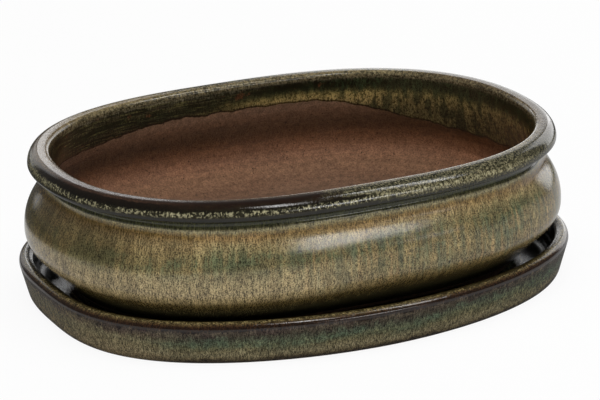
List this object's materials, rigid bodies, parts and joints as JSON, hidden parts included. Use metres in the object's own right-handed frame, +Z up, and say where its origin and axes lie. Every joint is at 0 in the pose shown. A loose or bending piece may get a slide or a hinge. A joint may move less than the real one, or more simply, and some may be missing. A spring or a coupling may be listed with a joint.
{
  "type": "oval bonsai pot with saucer",
  "caption": "Glazed oval bonsai pot with a rolled lip, a bulging belly and drain holes, standing on its feet in a matching drip saucer.",
  "frame": {"origin": "on the ground, under the middle of the saucer", "axes": "+X along the long side of the pot, +Y from the front side to the back side, +Z up through the mouth"},
  "size_m": [0.3028, 0.2388, 0.0864],
  "materials": {
    "saucer_glaze": "gloss",
    "pot_glaze": "gloss"
  },
  "bodies": {
    "saucer": {"saucer": "saucer_glaze"},
    "pot": {"pot": "pot_glaze"}
  },
  "joints": [
    {"name": "pot_lift", "type": "slide", "parent": "saucer", "child": "pot", "axis": [0, 0, 1], "range_m": [0, 0.12]}
  ]
}
